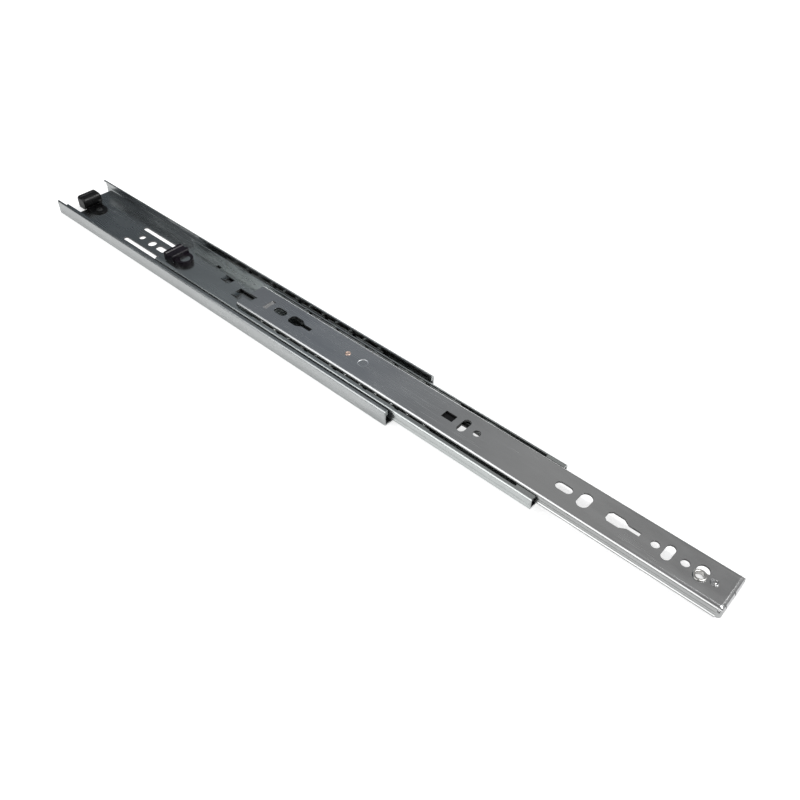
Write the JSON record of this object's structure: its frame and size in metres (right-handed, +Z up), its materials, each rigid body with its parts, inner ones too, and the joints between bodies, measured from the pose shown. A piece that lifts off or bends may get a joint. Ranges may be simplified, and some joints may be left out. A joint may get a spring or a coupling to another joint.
{
  "type": "ball-bearing slide rail",
  "caption": "Full-extension ball-bearing slide rail with outer, intermediate and inner members, ball cages, bumpers, release lever and height adjuster.",
  "frame": {"origin": "middle of the outer member's length and width, on its fixing face (the underside of its web)", "axes": "+X along the slide, the way it extends; +Y across it; +Z up from the fixing face towards the inner member"},
  "size_m": [0.5575, 0.045, 0.0133],
  "materials": {
    "outer_steel": "zinc-plated rolled steel sheet",
    "middle_steel": "zinc-plated rolled steel sheet",
    "inner_steel": "zinc-plated rolled steel sheet",
    "cage_steel": "bright stamped strip",
    "ball_steel": "polished bearing steel",
    "black_plastic": "moulded acetal, fine satin",
    "copper_rivet": "copper-plated steel rivet",
    "plated_steel": "nickel-plated steel"
  },
  "bodies": {
    "outer": {"outer_member": "outer_steel", "rear_bumper": "black_plastic"},
    "intermediate": {"intermediate_member": "middle_steel", "intermediate_bumper": "black_plastic"},
    "inner": {"inner_member": "inner_steel", "lever_rivet": "copper_rivet", "adjuster_rivet": "plated_steel"},
    "outer_cage": {"outer_ball_cage": "cage_steel", "outer_balls_left": "ball_steel", "outer_balls_right": "ball_steel"},
    "inner_cage": {"inner_ball_cage": "cage_steel", "inner_balls_left": "ball_steel", "inner_balls_right": "ball_steel"},
    "lever": {"release_lever": "black_plastic"},
    "adjuster": {"adjuster_plate": "plated_steel", "adjuster_eyelet": "plated_steel"}
  },
  "joints": [
    {"name": "intermediate_slide", "type": "slide", "parent": "outer", "child": "intermediate", "axis": [1, 0, 0], "range_m": [-0.101, 0.074]},
    {"name": "inner_slide", "type": "slide", "parent": "intermediate", "child": "inner", "axis": [1, 0, 0], "range_m": [-0.1035, 0.0715]},
    {"name": "outer_cage_slide", "type": "slide", "parent": "outer", "child": "outer_cage", "axis": [1, 0, 0], "range_m": [-0.0505, 0.037]},
    {"name": "inner_cage_slide", "type": "slide", "parent": "intermediate", "child": "inner_cage", "axis": [1, 0, 0], "range_m": [-0.05175, 0.03575]},
    {"name": "lever_hinge", "type": "hinge", "parent": "inner", "child": "lever", "pos_m": [0.123, 0, 0.0097], "axis": [0, 0, -1], "range_deg": [0, 2.5], "stiffness_Nm_per_rad": 2},
    {"name": "adjuster_hinge", "type": "hinge", "parent": "inner", "child": "adjuster", "pos_m": [0.372, -0.0008, 0.0108], "axis": [0, 0, -1], "range_deg": [0, 22]}
  ],
  "couplings": [
    {"joint": "outer_cage_slide", "follows": "intermediate_slide", "ratio": 0.5},
    {"joint": "inner_cage_slide", "follows": "inner_slide", "ratio": 0.5}
  ]
}
